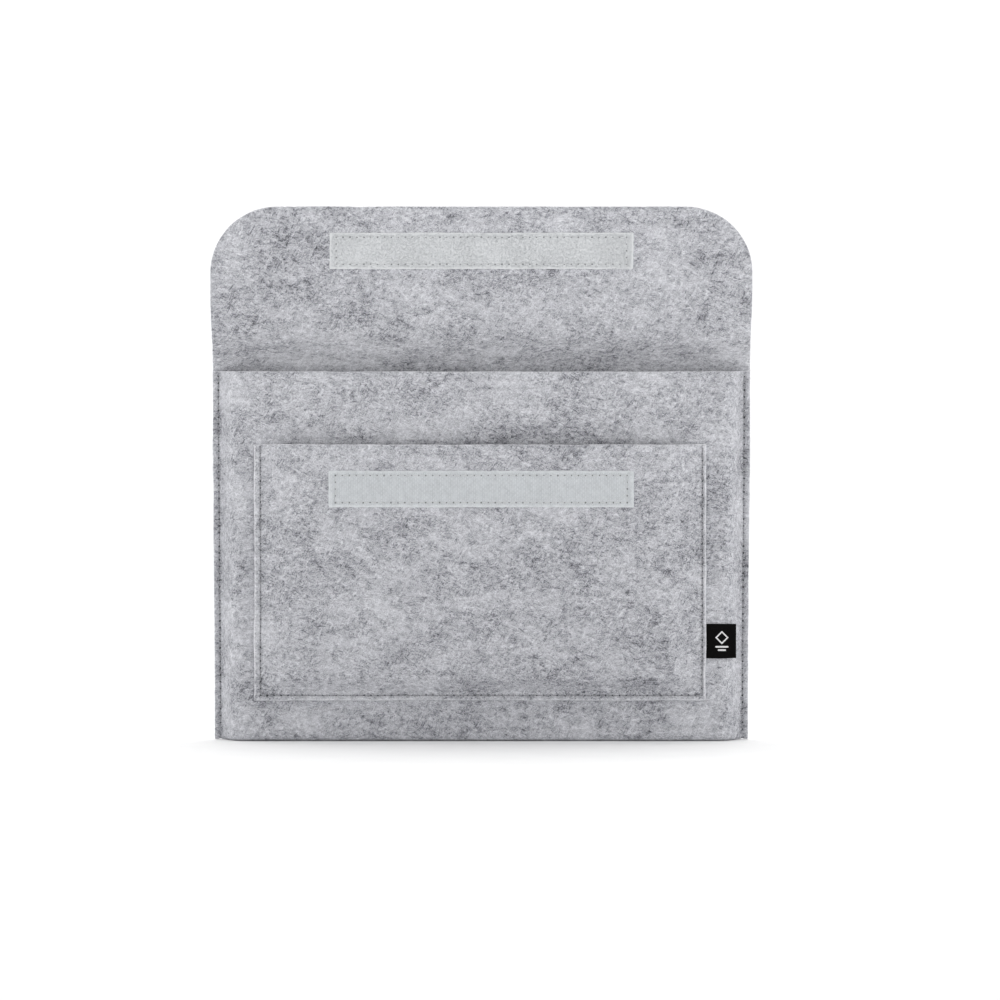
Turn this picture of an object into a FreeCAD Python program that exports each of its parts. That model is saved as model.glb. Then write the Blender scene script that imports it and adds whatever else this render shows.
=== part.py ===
"""Felt laptop sleeve with a fold-over flap, a front pocket and a hook-and-loop closure.

Frame: +Z up, the front faces -Y, and the origin is the centre of the bottom of the
sleeve's box. The sleeve stands on its bottom fold with the flap open, straight up.
It has the shape it takes when filled: one laptop behind the front panel and one
tablet behind the pocket. Depths are counted forwards from the back face.
"""
import FreeCAD
import Part
import Sketcher
import math
import os

from FreeCAD import Vector

# Driving dimensions, in millimetres.
DIMENSIONS = {
    "felt": 3.0,              # thickness of every felt piece
    "body_width": 370.0,      # across the mouth
    "bottom_width": 367.5,    # across the bottom fold
    "flap_width": 373.5,
    "body_height": 254.0,     # floor to the mouth
    "total_height": 367.0,    # floor to the top of the open flap
    "flap_corner": 46.0,      # radius of the flap's two corners
    "fold_radius": 2.0,       # rounding of the bottom fold's lower edges
    "crease_low": 254.0,      # where the back panel ends and the flap's fold begins
    "crease_high": 280.0,     # where the fold ends and the flap begins
    "part_gap": 0.3,          # clearance between pieces that move apart
    "laptop_gap": 16.5,       # depth of the laptop compartment
    "wall_foot": 180.1,       # half width where the front panel's side walls rise
    "wall_run": 3.0,          # sideways lean of those walls
    "wall_inset": 2.5,        # inner face of a side wall behind its outer face
    "pocket_left": 155.8,     # the pocket's reach to the left of the middle
    "pocket_right": 154.0,    # and to the right
    "pocket_low": 28.0,       # height of the pocket's bottom edge
    "pocket_top": 204.0,      # height of the pocket's open edge
    "pocket_gap": 7.0,        # depth of the tablet pocket
    "pocket_lip": 6.0,        # flat border of the pocket that is sewn down
    "pocket_side_run": 22.0,  # how far the pocket's sides take to rise
    "pocket_foot_run": 10.0,  # how far the pocket's bottom takes to rise
    "tape_width": 25.0,
    "tape_length": 209.0,
    "tape_base": 0.6,         # woven ground of both tapes
    "selvedge": 2.0,          # bare woven border beside the hooks and the pile
    "hook_rise": 1.4,
    "pile_rise": 1.6,
    "hook_height": 173.5,     # height of the hook tape's middle
    "loop_height": 336.5,     # height of the loop tape's middle, flap open
    "label_width": 20.2,      # free part of the folded label
    "label_height": 23.5,
    "label_middle": 68.9,     # height of the label's middle
    "label_thick": 0.8,
    "label_sewn": 6.0,        # length of label sewn in under the pocket's edge
    "label_play": 0.7,        # from the pocket's edge to where the label bends
    "stitch_pitch": 4.75,
    "stitch_length": 3.5,
    "thread_radius": 0.35,
    "thread_rise": 0.1,       # how far a sunk stitch stands above the felt
    "side_seam_inset": 4.0,
    "pocket_seam_half": 151.6,  # half the distance between the pocket's upright seams
    "pocket_seam_inset": 3.5,  # the seam along the pocket's bottom
    "cut_margin": 1.0,        # how far a cut runs past what it cuts
    "hollow_inset": 1.0,      # how much smaller the pocket's hollow is than its bulge
    "tape_seam_inset": 3.2,
    "tape_seam_end": 4.6,
}

EDGE_SLACK = 0.01             # how closely an edge's box tells where the edge lies

doc = FreeCAD.newDocument("laptop_sleeve")
sheet = doc.addObject("Spreadsheet::Sheet", "dims")
for row, (alias, size) in enumerate(DIMENSIONS.items(), start=1):
    sheet.set(f"A{row}", alias)
    sheet.set(f"B{row}", str(size))
    sheet.setAlias(f"B{row}", alias)
doc.recompute()

# Depths and places that several pieces share, as expressions on the sheet.
FRONT_IN = "(dims.felt + dims.laptop_gap)"
FRONT_OUT = f"({FRONT_IN} + dims.felt)"
POCKET_IN = f"({FRONT_OUT} + dims.pocket_gap)"
POCKET_OUT = f"({POCKET_IN} + dims.felt)"
HOOK_TOP = f"({POCKET_OUT} + dims.tape_base + dims.hook_rise)"
BACK_FACE = f"({HOOK_TOP} - dims.thread_rise) / 2"
LABEL_DEPTH = f"({FRONT_OUT} + dims.part_gap)"


def size_of(alias):
    """A driving dimension as the sheet holds it."""
    return float(sheet.get(alias))


def new_body(name):
    """A body whose local origin is the back face's middle, at the floor."""
    body = doc.addObject("PartDesign::Body", name)
    body.Label = name
    body.setExpression("Placement.Base.y", BACK_FACE)
    return body


def new_sketch(body, name, plane, offset="0"):
    """A sketch on one of the body's own origin planes, moved along its normal."""
    sketch = body.newObject("Sketcher::SketchObject", name)
    role_plane = next(f for f in body.Origin.OriginFeatures if f.Role == plane)
    sketch.AttachmentSupport = [(role_plane, "")]
    sketch.MapMode = "FlatFace"
    sketch.setExpression("AttachmentOffset.Base.z", offset)
    return sketch


def draw_outline(sketch, corners):
    """A closed outline of straight lines; each corner is a pair of expressions."""
    first = sketch.GeometryCount
    count = len(corners)
    rough = [Vector(10 * math.cos(2 * math.pi * i / count),
                    10 * math.sin(2 * math.pi * i / count), 0) for i in range(count)]
    for i in range(count):
        sketch.addGeometry(Part.LineSegment(rough[i], rough[(i + 1) % count]), False)
    for i in range(count):
        here = first + i
        after = first + (i + 1) % count
        sketch.addConstraint(Sketcher.Constraint("Coincident", here, 2, after, 1))
    for i, (across, along) in enumerate(corners):
        for kind, rule in (("DistanceX", across), ("DistanceY", along)):
            number = sketch.addConstraint(
                Sketcher.Constraint(kind, -1, 1, first + i, 1, 1.0))
            sketch.setExpression(f"Constraints[{number}]", rule)


def draw_box(sketch, left, right, low, high):
    """A rectangle between four expressions."""
    draw_outline(sketch, [(left, low), (right, low), (right, high), (left, high)])


def mirrored(side):
    """A closed outline from its right-hand half, listed from one end to the other."""
    other = [(f"-({across})", along) for across, along in reversed(side)]
    return side + other


def add_pad(body, sketch, name, length):
    pad = body.newObject("PartDesign::Pad", name)
    pad.Profile = sketch
    pad.setExpression("Length", length)
    return pad


def cut_through(body, sketch, name):
    """A cut through everything, in both directions from the sketch."""
    cut = body.newObject("PartDesign::Pocket", name)
    cut.Profile = sketch
    cut.Type = "ThroughAll"
    cut.Midplane = True
    return cut


def cut_forwards(body, sketch, name, length):
    """A cut from the sketch towards the front, to a depth."""
    cut = body.newObject("PartDesign::Pocket", name)
    cut.Profile = sketch
    cut.setExpression("Length", length)
    cut.Reversed = True
    return cut


def felt_panel(name, corners):
    """A flat piece in the plane of the back, drawn from the front."""
    body = new_body(name)
    outline = new_sketch(body, f"{name}_outline", "XZ_Plane")
    draw_outline(outline, corners)
    add_pad(body, outline, f"{name}_sheet", "dims.felt")
    return body


def rounded(body, name, radius, wanted):
    """Round the edges whose bounding box is wanted."""
    doc.recompute()
    base = body.Tip
    edges = [f"Edge{number}" for number, edge in enumerate(base.Shape.Edges, start=1)
             if wanted(edge.BoundBox)]
    fillet = body.newObject("PartDesign::Fillet", name)
    fillet.Base = (base, edges)
    fillet.setExpression("Radius", radius)
    body.Tip = fillet
    return body


def back_width_at(height):
    """Half the width of the tapering back and front panels at a height."""
    slope = "(dims.body_width - dims.bottom_width) / dims.body_height"
    return f"(dims.bottom_width + {slope} * {height}) / 2"


def make_back_panel():
    """The back, from the bottom fold up to the flap's fold."""
    side = [(back_width_at("dims.felt"), "dims.felt"),
            (back_width_at("dims.crease_low"), "dims.crease_low")]
    return felt_panel("back_panel", mirrored(side))


def make_flap_crease():
    """The band of felt that bends when the flap closes."""
    side = [(back_width_at("dims.crease_low"), "dims.crease_low"),
            ("dims.flap_width / 2", "dims.crease_high - dims.part_gap")]
    return felt_panel("flap_crease", mirrored(side))


def make_flap():
    """The flap above its fold, with two large rounded corners."""
    side = [("dims.flap_width / 2", "dims.crease_high"),
            ("dims.flap_width / 2", "dims.total_height")]
    body = felt_panel("flap", mirrored(side))
    top = size_of("total_height")
    return rounded(body, "flap_corners", "dims.flap_corner",
                   lambda box: box.YLength > 1 and abs(box.ZMin - top) < EDGE_SLACK)


def front_section():
    """Right half of the front panel's section seen from above, outer face first."""
    rise = "dims.felt"
    inner_foot = "dims.wall_foot - dims.wall_inset"
    outer = [("dims.body_width / 2", f"-2 * {rise}"),
             ("dims.wall_foot", f"-2 * {rise}"),
             ("dims.wall_foot - dims.wall_run", f"-{FRONT_OUT}")]
    inner = [(f"{inner_foot} - dims.wall_run", f"-{FRONT_IN}"),
             (inner_foot, f"-{rise}"),
             ("dims.body_width / 2", f"-{rise}")]
    return outer, inner


def make_front_panel():
    """The front: flat lips sewn to the back, side walls and a raised middle."""
    body = new_body("front_panel")
    outer, inner = front_section()
    section = new_sketch(body, "front_section", "XY_Plane", "dims.felt")
    left_outer = [(f"-({across})", depth) for across, depth in reversed(outer)]
    left_inner = [(f"-({across})", depth) for across, depth in reversed(inner)]
    draw_outline(section, outer + left_outer + left_inner + inner)
    add_pad(body, section, "front_sheet", "dims.body_height - dims.felt")
    doc.recompute()
    full = body.Tip.Shape.Volume
    wedges = new_sketch(body, "side_taper", "XZ_Plane")
    for sign in ("", "-"):
        draw_outline(wedges, [
            (f"{sign}(dims.bottom_width / 2)", "0"),
            (f"{sign}(dims.body_width / 2 + dims.cut_margin)", "0"),
            (f"{sign}(dims.body_width / 2 + dims.cut_margin)", "dims.body_height"),
            (f"{sign}(dims.body_width / 2)", "dims.body_height")])
    taper = cut_through(body, wedges, "trimmed_sides")
    doc.recompute()
    if not 0 < taper.Shape.Volume < full:
        raise RuntimeError("the side taper cut nothing from the front panel")
    return body


def make_bottom_fold():
    """The flat strip between the two panels that the sleeve stands on."""
    body = new_body("bottom_fold")
    base = new_sketch(body, "fold_outline", "XY_Plane")
    side = [("dims.bottom_width / 2", "0"),
            ("dims.bottom_width / 2", "-2 * dims.felt"),
            ("dims.wall_foot", "-2 * dims.felt"),
            ("dims.wall_foot - dims.wall_run", f"-{FRONT_OUT}")]
    draw_outline(base, mirrored(side))
    add_pad(body, base, "fold_strip", "dims.felt")
    long_enough = size_of("wall_foot")
    return rounded(body, "fold_rounding", "dims.fold_radius",
                   lambda box: box.XLength > long_enough and box.ZMax < EDGE_SLACK)


def pocket_ring(sketch, inset_side, inset_foot):
    """One level of the pocket's rise, open at the top."""
    draw_box(sketch, f"-(dims.pocket_left - {inset_side})", f"dims.pocket_right - {inset_side}",
             f"dims.pocket_low + {inset_foot}", "dims.pocket_top")


def add_rise(body, kind, name, near, far, extra):
    """A loft from the pocket's border to its raised middle between two depths."""
    low = new_sketch(body, f"{name}_border", "XZ_Plane", near)
    pocket_ring(low, f"(dims.pocket_lip + {extra})", f"(dims.pocket_lip + {extra})")
    high = new_sketch(body, f"{name}_middle", "XZ_Plane", far)
    pocket_ring(high, f"(dims.pocket_lip + dims.pocket_side_run + {extra})",
                f"(dims.pocket_lip + dims.pocket_foot_run + {extra})")
    loft = body.newObject(kind, name)
    loft.Profile = low
    loft.Sections = [high]
    return loft


def make_pocket_panel():
    """The front pocket: a border sewn down on three sides and a raised middle."""
    body = new_body("pocket_panel")
    border = new_sketch(body, "pocket_border", "XZ_Plane", FRONT_OUT)
    pocket_ring(border, "0", "0")
    add_pad(body, border, "pocket_lips", "dims.felt")
    add_rise(body, "PartDesign::AdditiveLoft", "pocket_bulge",
             f"{FRONT_OUT} + dims.felt", POCKET_OUT, "0")
    doc.recompute()
    filled = body.Tip.Shape.Volume
    hollow = add_rise(body, "PartDesign::SubtractiveLoft", "pocket_hollow",
                      FRONT_OUT, POCKET_IN, "dims.hollow_inset")
    doc.recompute()
    if not 0 < hollow.Shape.Volume < filled:
        raise RuntimeError("the pocket is not hollow")
    slot = new_sketch(body, "label_slot_outline", "XZ_Plane", FRONT_OUT)
    draw_box(slot, "dims.pocket_right - dims.label_sewn", "dims.pocket_right + dims.cut_margin",
             "dims.label_middle - dims.label_height / 2 - dims.part_gap",
             "dims.label_middle + dims.label_height / 2 + dims.part_gap")
    cut = cut_forwards(body, slot, "label_slot", "dims.part_gap + dims.label_thick")
    doc.recompute()
    if not cut.Shape.Volume < hollow.Shape.Volume:
        raise RuntimeError("the label's slot cut nothing")
    return body


def tape_layer(name, middle, depth, thickness, inset):
    """One layer of a closure tape, inset from the tape's edges."""
    half = f"dims.tape_length / 2 - {inset}"
    body = new_body(name)
    outline = new_sketch(body, f"{name}_outline", "XZ_Plane", depth)
    draw_box(outline, f"-({half})", half,
             f"{middle} - dims.tape_width / 2 + {inset}",
             f"{middle} + dims.tape_width / 2 - {inset}")
    add_pad(body, outline, f"{name}_layer", thickness)
    return body


def label_piece(name, left, right):
    """A length of the folded label between two distances from the middle."""
    body = new_body(name)
    outline = new_sketch(body, f"{name}_outline", "XZ_Plane", LABEL_DEPTH)
    draw_box(outline, left, right, "dims.label_middle - dims.label_height / 2",
             "dims.label_middle + dims.label_height / 2")
    add_pad(body, outline, f"{name}_cloth", "dims.label_thick")
    return body


def capsule(start, end, radius):
    """One stitch: a short round thread between two points."""
    run = end - start
    along = Vector(run).normalize()
    side = Vector(0, 1, 0)
    outward = [start - along * radius, start + side * radius,
               end + side * radius, end + along * radius]
    bend = radius * math.sqrt(0.5)
    near = Part.Arc(outward[0], start - along * bend + side * bend, outward[1])
    far = Part.Arc(outward[2], end + along * bend + side * bend, outward[3])
    edges = [near.toShape(), Part.LineSegment(outward[1], outward[2]).toShape(),
             far.toShape(), Part.LineSegment(outward[3], outward[0]).toShape()]
    half = Part.Face(Part.Wire(edges))
    return half.revolve(start, along, 360)


def stitch_run(start, end):
    """Stitches of even pitch along one straight stretch of a seam."""
    radius = size_of("thread_radius")
    run = end - start
    count = max(1, round(run.Length / size_of("stitch_pitch")))
    step = run / count
    half = Vector(step).normalize() * (size_of("stitch_length") / 2 - radius)
    middles = [start + step * (i + 0.5) for i in range(count)]
    return [capsule(middle - half, middle + half, radius) for middle in middles]


def make_thread(name, route, depth, faces_front):
    """All stitches of one thread on one face; the route is drawn from the front."""
    sunk = size_of("thread_radius") - size_of("thread_rise")
    inward = depth - sunk if faces_front else depth + sunk
    points = [Vector(across, -inward, height) for across, height in route]
    stitches = []
    for start, end in zip(points, points[1:]):
        stitches += stitch_run(start, end)
    thread = doc.addObject("Part::Feature", name)
    thread.Label = name
    thread.Shape = Part.makeCompound(stitches)
    thread.Placement.Base.y = back_panel.Placement.Base.y
    return thread


def make_seam(name, route, front_depth, rear_depth):
    """A lockstitch seam: needle thread on the front face, bobbin thread behind."""
    return [make_thread(f"{name}_needle_thread", route, front_depth, True),
            make_thread(f"{name}_bobbin_thread", route, rear_depth, False)]


def tape_route(middle):
    """The closed rectangle that holds a tape down, drawn once round."""
    half = size_of("tape_length") / 2 - size_of("tape_seam_end")
    reach = size_of("tape_width") / 2 - size_of("tape_seam_inset")
    corners = [(-half, middle - reach), (half, middle - reach),
               (half, middle + reach), (-half, middle + reach)]
    return corners + corners[:1]


def make_seams():
    """Two side seams, the pocket's seam and one seam round each tape."""
    felt = size_of("felt")
    front_in = felt + size_of("laptop_gap")
    front_out = front_in + felt
    pocket_in = front_out + size_of("pocket_gap")
    pocket_out = pocket_in + felt
    ends = (felt + size_of("side_seam_inset"),
            size_of("body_height") - size_of("side_seam_inset"))
    seams = []
    for side, sign in (("left", -1), ("right", 1)):
        across = sign * (size_of("body_width") / 2 - size_of("side_seam_inset"))
        seams += make_seam(f"side_seam_{side}", [(across, ends[0]), (across, ends[1])],
                           2 * felt, 0)
    inset = size_of("pocket_seam_inset")
    half = size_of("pocket_seam_half")
    low = size_of("pocket_low") + inset
    high = size_of("pocket_top") - inset / 2
    seams += make_seam("pocket_seam", [(-half, high), (-half, low), (half, low), (half, high)],
                       front_out + felt, front_in)
    base = size_of("tape_base")
    seams += make_seam("hook_tape_seam", tape_route(size_of("hook_height")),
                       pocket_out + base, pocket_in)
    seams += make_seam("loop_tape_seam", tape_route(size_of("loop_height")), felt + base, 0)
    return seams


back_panel = make_back_panel()
label_left = "dims.pocket_right + dims.label_play"
pieces = [
    back_panel,
    make_bottom_fold(),
    make_front_panel(),
    make_flap_crease(),
    make_flap(),
    make_pocket_panel(),
    tape_layer("hook_tape", "dims.hook_height", POCKET_OUT, "dims.tape_base", "0"),
    tape_layer("hook_field", "dims.hook_height", f"{POCKET_OUT} + dims.tape_base",
               "dims.hook_rise", "dims.selvedge"),
    tape_layer("loop_tape", "dims.loop_height", "dims.felt", "dims.tape_base", "0"),
    tape_layer("loop_pile", "dims.loop_height", "dims.felt + dims.tape_base",
               "dims.pile_rise", "dims.selvedge"),
    label_piece("label_root", "dims.pocket_right - dims.label_sewn", "dims.pocket_right"),
    label_piece("label_tab", label_left, f"{label_left} + dims.label_width"),
]
doc.recompute()
pieces += make_seams()
doc.recompute()

for item in doc.Objects:
    if any(word in ("Invalid", "Error") for word in item.State):
        raise RuntimeError(f"{item.Name} failed: {item.State}")
for piece in pieces:
    if piece.Shape.isNull() or not piece.Shape.isValid():
        raise RuntimeError(f"{piece.Label} has no valid shape")

os.makedirs("parts", exist_ok=True)
for piece in pieces:
    piece.Shape.exportStep(f"parts/{piece.Label}.step")
    box = piece.Shape.BoundBox
    print(f"{piece.Label:32s} {len(piece.Shape.Solids):4d} solids"
          f"  x {box.XMin:8.2f} {box.XMax:8.2f}  y {box.YMin:7.2f} {box.YMax:7.2f}"
          f"  z {box.ZMin:7.2f} {box.ZMax:7.2f}  {piece.Shape.Volume:10.1f} mm3")
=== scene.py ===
"""Laptop sleeve in heathered grey felt: the looks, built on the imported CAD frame.

Everything is in metres in the CAD's own frame: +Z up, the front faces -Y. Places and
sizes come from the CAD nodes' boxes. "Depth" is measured forwards, along -Y.
"""

import math
import random

import bpy
import numpy as np
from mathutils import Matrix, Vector, noise


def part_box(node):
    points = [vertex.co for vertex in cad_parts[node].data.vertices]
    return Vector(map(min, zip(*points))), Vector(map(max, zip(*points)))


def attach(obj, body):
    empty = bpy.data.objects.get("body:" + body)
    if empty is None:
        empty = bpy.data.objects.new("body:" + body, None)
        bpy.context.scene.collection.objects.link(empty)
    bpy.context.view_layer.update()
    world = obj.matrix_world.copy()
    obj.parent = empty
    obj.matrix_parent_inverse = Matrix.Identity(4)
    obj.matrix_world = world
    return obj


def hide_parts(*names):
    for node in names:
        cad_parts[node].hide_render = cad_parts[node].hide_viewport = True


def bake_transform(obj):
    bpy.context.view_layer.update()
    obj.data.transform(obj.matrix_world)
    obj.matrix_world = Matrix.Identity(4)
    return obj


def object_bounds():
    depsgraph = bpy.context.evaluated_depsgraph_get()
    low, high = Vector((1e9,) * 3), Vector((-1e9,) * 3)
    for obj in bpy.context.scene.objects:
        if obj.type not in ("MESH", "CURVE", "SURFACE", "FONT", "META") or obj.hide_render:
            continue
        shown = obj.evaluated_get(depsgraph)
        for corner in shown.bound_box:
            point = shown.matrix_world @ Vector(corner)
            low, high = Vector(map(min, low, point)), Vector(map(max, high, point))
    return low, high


MM = 0.001
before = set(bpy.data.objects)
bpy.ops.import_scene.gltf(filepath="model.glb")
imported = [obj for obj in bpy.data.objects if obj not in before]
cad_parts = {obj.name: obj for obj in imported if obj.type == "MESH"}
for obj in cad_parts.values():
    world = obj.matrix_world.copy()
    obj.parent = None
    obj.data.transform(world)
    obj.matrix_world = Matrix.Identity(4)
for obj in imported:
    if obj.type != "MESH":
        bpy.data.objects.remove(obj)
cad_low, cad_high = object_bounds()

# ---------------------------------------------------------------- places from the frame
BACK_LOW, BACK_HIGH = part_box("back_panel")
FRONT_LOW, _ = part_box("front_panel")
_, FOLD_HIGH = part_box("bottom_fold")
FLAP_LOW, FLAP_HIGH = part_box("flap")
POCKET_LOW, POCKET_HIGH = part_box("pocket_panel")
TAB_LOW, TAB_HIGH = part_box("label_tab")
ROOT_LOW, ROOT_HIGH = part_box("label_root")

FELT = BACK_HIGH.y - BACK_LOW.y
HALF = FELT / 2
BACK_FACE = BACK_HIGH.y
BACK_MID = BACK_FACE - HALF
FRONT_MID = FRONT_LOW.y + HALF
LIP_MID = BACK_MID - FELT
MOUTH = BACK_HIGH.z
BODY_HALF = BACK_HIGH.x
BOTTOM_HALF = FOLD_HIGH.x
FLAP_HALF = FLAP_HIGH.x
FLAP_TOP = FLAP_HIGH.z
FLAP_START = FLAP_LOW.z
POCKET_LIP_MID = FRONT_LOW.y - HALF
POCKET_RISE = (POCKET_LIP_MID - POCKET_LOW.y) - HALF

# Sizes that the boxes don't give, as the felt was cut and sewn.
FLAP_CORNER = 46 * MM
FLAP_SPREAD = 60 * MM        # the height that the strip takes to widen above the mouth
WALL_FOOT = 178.5 * MM       # half width of the felt's middle where the side walls rise
WALL_TOP = 170.0 * MM        # and where they reach the front
WALL_BENDS = (9.0 * MM, 2.8 * MM)    # radii of the bends at their top and at their foot
RIM = 0.6 * MM               # how far a cut edge bulges past its flat faces
SIDE_SEAM_INSET = 4.0 * MM
POCKET_SEAM_HALF = 151.6 * MM
POCKET_SEAM_INSET = 3.5 * MM
POCKET_LIP = 6.0 * MM
POCKET_SIDE_RUN = 22.0 * MM
POCKET_FOOT_RUN = 10.0 * MM
TAPE_SEAM_INSET = 3.2 * MM
TAPE_SEAM_END = 4.6 * MM
STITCH_PITCH = 4.75 * MM
GROOVE_DEPTH = 0.45 * MM     # how far a seam presses into the felt
GROOVE_REACH = 1.1 * MM      # and how far to either side

# Spacing of the points on the felt: on the flat, and close to a seam.
FLAT_STEP = 4.6 * MM
FINE_STEP = 0.42 * MM

NOISE_GAIN = 1.6             # brings Blender's noise close to the span of -1 to 1
SEED_SHIFTS = (17.3, 5.1, 9.7)       # keep the patterns of two seeds apart
FRAY_WAVE = 2.3 * MM         # length of the little waves along a cut edge
FRAY_SEED = 3.0


# ---------------------------------------------------------------- small helpers
def ease(share):
    """Smooth step from 0 to 1."""
    share = np.clip(share, 0.0, 1.0)
    return share * share * (3 - 2 * share)


def wander(points, size, seed):
    """Smooth noise of about -1 to 1 at each point; size is the length of one wave."""
    offset = Vector([seed * shift for shift in SEED_SHIFTS])
    flat = points.reshape(-1, 3) / size
    values = [noise.noise(Vector(p) + offset) for p in flat]
    return np.array(values).reshape(points.shape[:-1]) * NOISE_GAIN


def ripples(points, *waves):
    """The sum of several wanders; each wave has a length, a height and a seed."""
    return sum(wander(points, length, seed) * height for length, height, seed in waves)


def graded(low, high, coarse, spots, fine, reach):
    """Sorted places from low to high, close together within reach of each spot."""
    places = [low]
    while places[-1] < high:
        here = places[-1]
        near = min(abs(here - spot) for spot in spots)
        grown = fine + (coarse - fine) * min(1.0, max(0.0, (near - reach) / (4 * reach)))
        places.append(here + grown)
    scale = (high - low) / (places[-1] - low)
    return np.array([low + (place - low) * scale for place in places])


def rounded_path(corners, radii, step):
    """Points along a line whose corners are rounded, evenly spaced within each stretch."""
    path = [corners[0]]
    for before, corner, after, radius in zip(corners, corners[1:], corners[2:], radii):
        back = (before - corner).normalized()
        ahead = (after - corner).normalized()
        turn = math.pi - back.angle(ahead)
        cut = radius * math.tan(turn / 2)
        start, end = corner + back * cut, corner + ahead * cut
        path += stretch(path[-1], start, step)[1:]
        middle = corner + (back + ahead).normalized() * (radius / math.cos(turn / 2))
        count = max(3, math.ceil(turn * radius / step))
        first_spoke, last_spoke = start - middle, end - middle
        for i in range(1, count + 1):
            spoke = first_spoke.lerp(last_spoke, i / count)
            path.append(middle + spoke.normalized() * radius)
    path += stretch(path[-1], corners[-1], step)[1:]
    return path


def stretch(start, end, step):
    """Evenly spaced points from start to end."""
    count = max(1, math.ceil((end - start).length / step))
    return [start.lerp(end, i / count) for i in range(count + 1)]


def add_mesh(name, points, faces, materials, face_materials=None):
    """A smooth-shaded mesh object that remembers where its points lie at rest."""
    mesh = bpy.data.meshes.new(name)
    mesh.from_pydata([tuple(p) for p in points], [], faces)
    mesh.update()
    for material in materials:
        mesh.materials.append(material)
    if face_materials is not None:
        mesh.polygons.foreach_set("material_index", face_materials)
    mesh.polygons.foreach_set("use_smooth", [True] * len(mesh.polygons))
    rest = mesh.attributes.new("rest", "FLOAT_VECTOR", "POINT")
    rest.data.foreach_set("vector", np.array(points, np.float32).ravel())
    piece = bpy.data.objects.new(name, mesh)
    bpy.context.scene.collection.objects.link(piece)
    return piece


# ---------------------------------------------------------------- sheets of cloth
FELT_STOPS = ((0.29, (0.056, 0.057, 0.065)),
              (0.43, (0.192, 0.195, 0.214)),
              (0.52, (0.340, 0.344, 0.371)),
              (0.61, (0.497, 0.501, 0.532)),
              (0.76, (0.710, 0.716, 0.744)))
STITCH_PAINTED_SHADE = -0.04         # painted shade: how much darker the felt is coloured where a stitch presses in
CUT_EDGE_PAINTED_HIGHLIGHT = 0.12        # painted highlight: how much paler a cut edge is coloured
LIP_PAINTED_HIGHLIGHT = 1.0              # painted highlight: how much paler the pocket's border outside its seam is coloured, in stitch shades
# Rounding of a cut edge: shares of the rim outwards and of half the thickness upwards.
RIM_PROFILE = ((0.7, 0.86), (1.0, 0.42), (1.0, -0.42), (0.7, -0.86))


def sheet_mesh(name, middle, outer, inner, rim, material, fray=0.0, dents_and_painted_shade=0.0):
    """A closed sheet round a grid of middle points, with rounded cut edges.

    outer and inner are the thicknesses to either side of the middle. Rows run so that
    minus (row direction x column direction) points out of the outer face. The last argument says
    from 0 to 1 how hard the stitches press each place, where the felt is coloured darker as
    painted shade in the groove, and below 0 where it is coloured paler as painted highlight. The
    cut edges are coloured paler as painted highlight.
    """
    rows, cols = middle.shape[:2]
    down = np.gradient(middle, axis=0)
    across = np.gradient(middle, axis=1)
    normal = -np.cross(down, across)
    normal /= np.linalg.norm(normal, axis=2, keepdims=True)
    front = middle + normal * np.broadcast_to(outer, (rows, cols))[..., None]
    rear = middle - normal * np.broadcast_to(inner, (rows, cols))[..., None]
    border = ([(0, j) for j in range(cols)] + [(i, cols - 1) for i in range(1, rows)]
              + [(rows - 1, j) for j in range(cols - 2, -1, -1)]
              + [(i, 0) for i in range(rows - 2, 0, -1)])
    edge_i = np.array([i for i, _ in border])
    edge_j = np.array([j for _, j in border])
    edge = middle[edge_i, edge_j]
    tangent = np.roll(edge, -1, axis=0) - np.roll(edge, 1, axis=0)
    away = np.cross(tangent, normal[edge_i, edge_j])
    away /= np.linalg.norm(away, axis=1, keepdims=True)
    inside = middle[np.clip(edge_i, 1, rows - 2), np.clip(edge_j, 1, cols - 2)]
    away *= np.sign(np.sum(away * (edge - inside), axis=1))[:, None]
    frayed = rim * (1 + fray * wander(edge, FRAY_WAVE, FRAY_SEED))
    height = np.broadcast_to(outer, (rows, cols))[edge_i, edge_j]
    loops = [edge + away * (frayed * out)[:, None]
             + normal[edge_i, edge_j] * (height * up)[:, None] for out, up in RIM_PROFILE]
    points = np.concatenate([front.reshape(-1, 3), rear.reshape(-1, 3)] + loops)
    grid = np.arange(rows * cols).reshape(rows, cols)
    rear_start = rows * cols
    faces = []
    for i in range(rows - 1):
        for j in range(cols - 1):
            a, b, c, d = grid[i, j], grid[i, j + 1], grid[i + 1, j + 1], grid[i + 1, j]
            faces.append((a, b, c, d))
            faces.append((rear_start + a, rear_start + d, rear_start + c, rear_start + b))
    count = len(border)
    rings = [[int(grid[i, j]) for i, j in border]]
    for k in range(len(loops)):
        rings.append([2 * rear_start + k * count + n for n in range(count)])
    rings.append([rear_start + int(grid[i, j]) for i, j in border])
    for ring, after in zip(rings, rings[1:]):
        for n in range(count):
            m = (n + 1) % count
            faces.append((ring[m], ring[n], after[n], after[m]))
    piece = add_mesh(name, points, faces, [material])
    # Painted shade and highlight: darker colour in the stitch grooves, paler on the pocket's
    # border and on every cut edge.
    groove_shade_and_highlights = np.broadcast_to(dents_and_painted_shade, (rows, cols)).ravel() * STITCH_PAINTED_SHADE
    values = np.full(len(points), CUT_EDGE_PAINTED_HIGHLIGHT, np.float32)
    values[:len(groove_shade_and_highlights)] = groove_shade_and_highlights
    values[len(groove_shade_and_highlights):2 * len(groove_shade_and_highlights)] = groove_shade_and_highlights
    painted_light_layer = piece.data.attributes.new("painted_shade_and_light", "FLOAT", "POINT")
    painted_light_layer.data.foreach_set("value", values)
    return piece


# ---------------------------------------------------------------- materials
def new_material(name):
    """An empty node material with a Principled shader; returns the parts to wire."""
    material = bpy.data.materials.new(name)
    material.use_nodes = True
    tree = material.node_tree
    return material, tree, tree.nodes["Principled BSDF"]


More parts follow.
